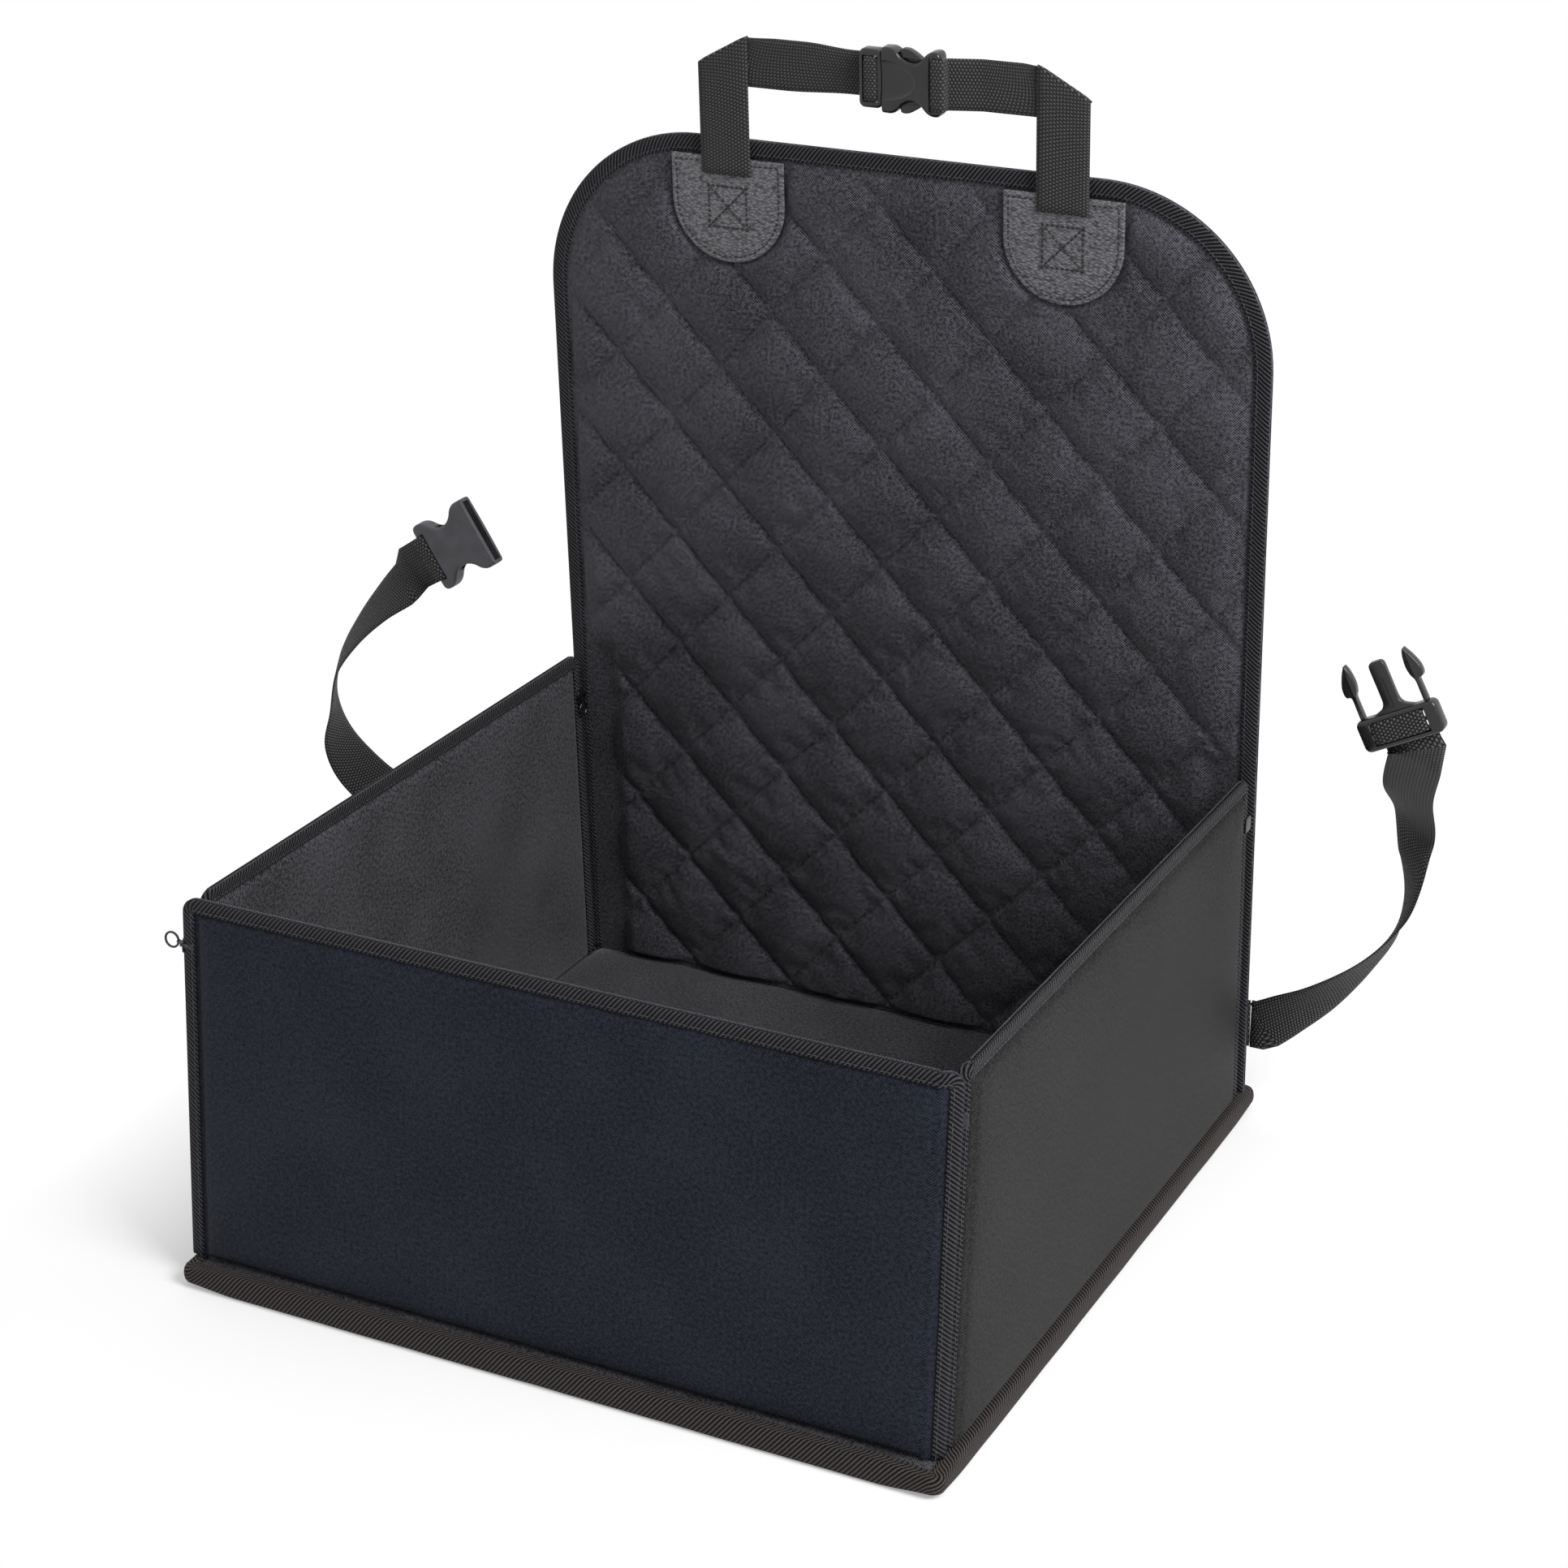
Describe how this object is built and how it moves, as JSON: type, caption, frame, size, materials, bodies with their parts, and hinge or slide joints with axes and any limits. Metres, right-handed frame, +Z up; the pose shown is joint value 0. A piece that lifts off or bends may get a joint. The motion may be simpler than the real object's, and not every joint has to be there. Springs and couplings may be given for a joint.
{
  "type": "dog car seat",
  "caption": "Open-topped fabric box seat for a dog with a padded base, zipped fold-down walls, a tall quilted backrest, a headrest loop and lap straps with a side-release buckle.",
  "frame": {"origin": "middle of the base's footprint, on the ground", "axes": "+Z up, -Y towards the front wall, +X towards the right-hand wall seen from the front"},
  "size_m": [0.789, 0.4701, 0.6249],
  "materials": {
    "oxford_cloth": "plain woven, coated",
    "quilted_cloth": "quilted in squares",
    "binding_tape": "ribbed woven tape",
    "stiffening_board": "plain board",
    "foam": "open-cell foam",
    "webbing": "coarse woven",
    "grained_leather": "pebble grain",
    "buckle_plastic": "fine moulded texture",
    "zip_coil": "coiled",
    "black_metal": "satin black"
  },
  "bodies": {
    "base": {"base_underside": "oxford_cloth", "base_board": "stiffening_board", "base_foam": "foam", "base_lining": "oxford_cloth", "base_binding": "binding_tape"},
    "front_wall": {"front_wall_cover": "oxford_cloth", "front_wall_board": "stiffening_board", "front_wall_lining": "oxford_cloth", "front_wall_binding": "binding_tape", "front_left_zip_front_chain": "zip_coil", "front_right_zip_front_chain": "zip_coil"},
    "left_wall": {"left_wall_cover": "oxford_cloth", "left_wall_board": "stiffening_board", "left_wall_lining": "oxford_cloth", "left_wall_binding": "binding_tape", "front_left_zip_side_chain": "zip_coil", "rear_left_zip_side_chain": "zip_coil"},
    "right_wall": {"right_wall_cover": "oxford_cloth", "right_wall_board": "stiffening_board", "right_wall_lining": "oxford_cloth", "right_wall_binding": "binding_tape", "front_right_zip_side_chain": "zip_coil", "rear_right_zip_side_chain": "zip_coil"},
    "backrest": {"backrest_quilted_face": "quilted_cloth", "backrest_board": "stiffening_board", "backrest_rear_cover": "oxford_cloth", "backrest_binding": "binding_tape", "left_leather_patch": "grained_leather", "right_leather_patch": "grained_leather", "left_strap_tail": "webbing", "right_strap_tail": "webbing", "left_strap_anchor": "webbing", "right_strap_anchor": "webbing", "rear_left_zip_back_chain": "zip_coil", "rear_right_zip_back_chain": "zip_coil"},
    "headrest_loop": {"left_headrest_strap": "webbing", "right_headrest_strap": "webbing", "headrest_buckle_male": "buckle_plastic", "headrest_buckle_female": "buckle_plastic"},
    "headrest_upper_prong": {"headrest_buckle_male_upper_prong": "buckle_plastic"},
    "headrest_lower_prong": {"headrest_buckle_male_lower_prong": "buckle_plastic"},
    "left_lap": {"left_lap_strap": "webbing", "lap_buckle_female": "buckle_plastic"},
    "right_lap": {"right_lap_strap": "webbing", "lap_buckle_male": "buckle_plastic"},
    "lap_upper_prong": {"lap_buckle_male_upper_prong": "buckle_plastic"},
    "lap_lower_prong": {"lap_buckle_male_lower_prong": "buckle_plastic"},
    "front_left_zip_slider": {"front_left_zip_slider": "black_metal"},
    "front_left_zip_pull": {"front_left_zip_pull": "black_metal"},
    "front_right_zip_slider": {"front_right_zip_slider": "black_metal"},
    "front_right_zip_pull": {"front_right_zip_pull": "black_metal"},
    "rear_left_zip_slider": {"rear_left_zip_slider": "black_metal"},
    "rear_left_zip_pull": {"rear_left_zip_pull": "black_metal"},
    "rear_right_zip_slider": {"rear_right_zip_slider": "black_metal"},
    "rear_right_zip_pull": {"rear_right_zip_pull": "black_metal"}
  },
  "joints": [
    {"name": "front_wall_fold", "type": "hinge", "parent": "base", "child": "front_wall", "pos_m": [0, -0.222, 0.0149], "axis": [1, 0, 0], "range_deg": [0, 93]},
    {"name": "left_wall_fold", "type": "hinge", "parent": "base", "child": "left_wall", "pos_m": [-0.225, 0, 0.0143], "axis": [0, -1, 0], "range_deg": [0, 90]},
    {"name": "right_wall_fold", "type": "hinge", "parent": "base", "child": "right_wall", "pos_m": [0.225, 0, 0.0143], "axis": [0, 1, 0], "range_deg": [0, 90]},
    {"name": "backrest_fold", "type": "hinge", "parent": "base", "child": "backrest", "pos_m": [0, 0.222, 0.01477], "axis": [-1, 0, 0], "range_deg": [0, 93]},
    {"name": "headrest_loop_swing", "type": "hinge", "parent": "backrest", "child": "headrest_loop", "pos_m": [0, 0.18446, 0.54103], "axis": [1, 0, 0], "range_deg": [0, 90]},
    {"name": "left_lap_swing", "type": "hinge", "parent": "backrest", "child": "left_lap", "pos_m": [-0.2257, 0.22111, 0.05278], "axis": [0, 0, 1], "range_deg": [0, 40]},
    {"name": "right_lap_swing", "type": "hinge", "parent": "backrest", "child": "right_lap", "pos_m": [0.2257, 0.22111, 0.05278], "axis": [0, 0, -1], "range_deg": [0, 40]},
    {"name": "headrest_upper_prong_squeeze", "type": "hinge", "parent": "headrest_loop", "child": "headrest_upper_prong", "pos_m": [-0.0152, 0.17605, 0.6202], "axis": [0, 0.9986, 0.0523], "range_deg": [0, 6], "stiffness_Nm_per_rad": 0.02},
    {"name": "headrest_lower_prong_squeeze", "type": "hinge", "parent": "headrest_loop", "child": "headrest_lower_prong", "pos_m": [-0.0152, 0.17773, 0.58824], "axis": [0, -0.9986, -0.0523], "range_deg": [0, 6], "stiffness_Nm_per_rad": 0.02},
    {"name": "lap_upper_prong_squeeze", "type": "hinge", "parent": "right_lap", "child": "lap_upper_prong", "pos_m": [0.31758, 0.09861, 0.31534], "axis": [0, 1, 0], "range_deg": [0, 6], "stiffness_Nm_per_rad": 0.02},
    {"name": "lap_lower_prong_squeeze", "type": "hinge", "parent": "right_lap", "child": "lap_lower_prong", "pos_m": [0.35055, 0.09861, 0.33214], "axis": [0, -1, 0], "range_deg": [0, 6], "stiffness_Nm_per_rad": 0.02},
    {"name": "front_left_zip_slide", "type": "slide", "parent": "left_wall", "child": "front_left_zip_slider", "axis": [0, -0.0663, -0.9978], "range_m": [0, 0.158]},
    {"name": "front_left_zip_pull_hinge", "type": "hinge", "parent": "front_left_zip_slider", "child": "front_left_zip_pull", "pos_m": [-0.22505, -0.19708, 0.1962], "axis": [0, -0.9978, 0.0663], "range_deg": [-60, 60]},
    {"name": "front_right_zip_slide", "type": "slide", "parent": "right_wall", "child": "front_right_zip_slider", "axis": [0, -0.0663, -0.9978], "range_m": [0, 0.158]},
    {"name": "front_right_zip_pull_hinge", "type": "hinge", "parent": "front_right_zip_slider", "child": "front_right_zip_pull", "pos_m": [0.21595, -0.19708, 0.1962], "axis": [0, 0.9978, -0.0663], "range_deg": [0, 120]},
    {"name": "rear_left_zip_slide", "type": "slide", "parent": "left_wall", "child": "rear_left_zip_slider", "axis": [0, 0.0523, -0.9986], "range_m": [0, 0.158]},
    {"name": "rear_left_zip_pull_hinge", "type": "hinge", "parent": "rear_left_zip_slider", "child": "rear_left_zip_pull", "pos_m": [-0.21595, 0.19962, 0.19621], "axis": [0, -0.9986, -0.0523], "range_deg": [0, 120]},
    {"name": "rear_right_zip_slide", "type": "slide", "parent": "right_wall", "child": "rear_right_zip_slider", "axis": [0, 0.0523, -0.9986], "range_m": [0, 0.158]},
    {"name": "rear_right_zip_pull_hinge", "type": "hinge", "parent": "rear_right_zip_slider", "child": "rear_right_zip_pull", "pos_m": [0.21595, 0.19962, 0.19621], "axis": [0, 0.9986, 0.0523], "range_deg": [0, 120]}
  ],
  "couplings": [
    {"joint": "headrest_lower_prong_squeeze", "follows": "headrest_upper_prong_squeeze", "ratio": 1},
    {"joint": "lap_lower_prong_squeeze", "follows": "lap_upper_prong_squeeze", "ratio": 1}
  ]
}
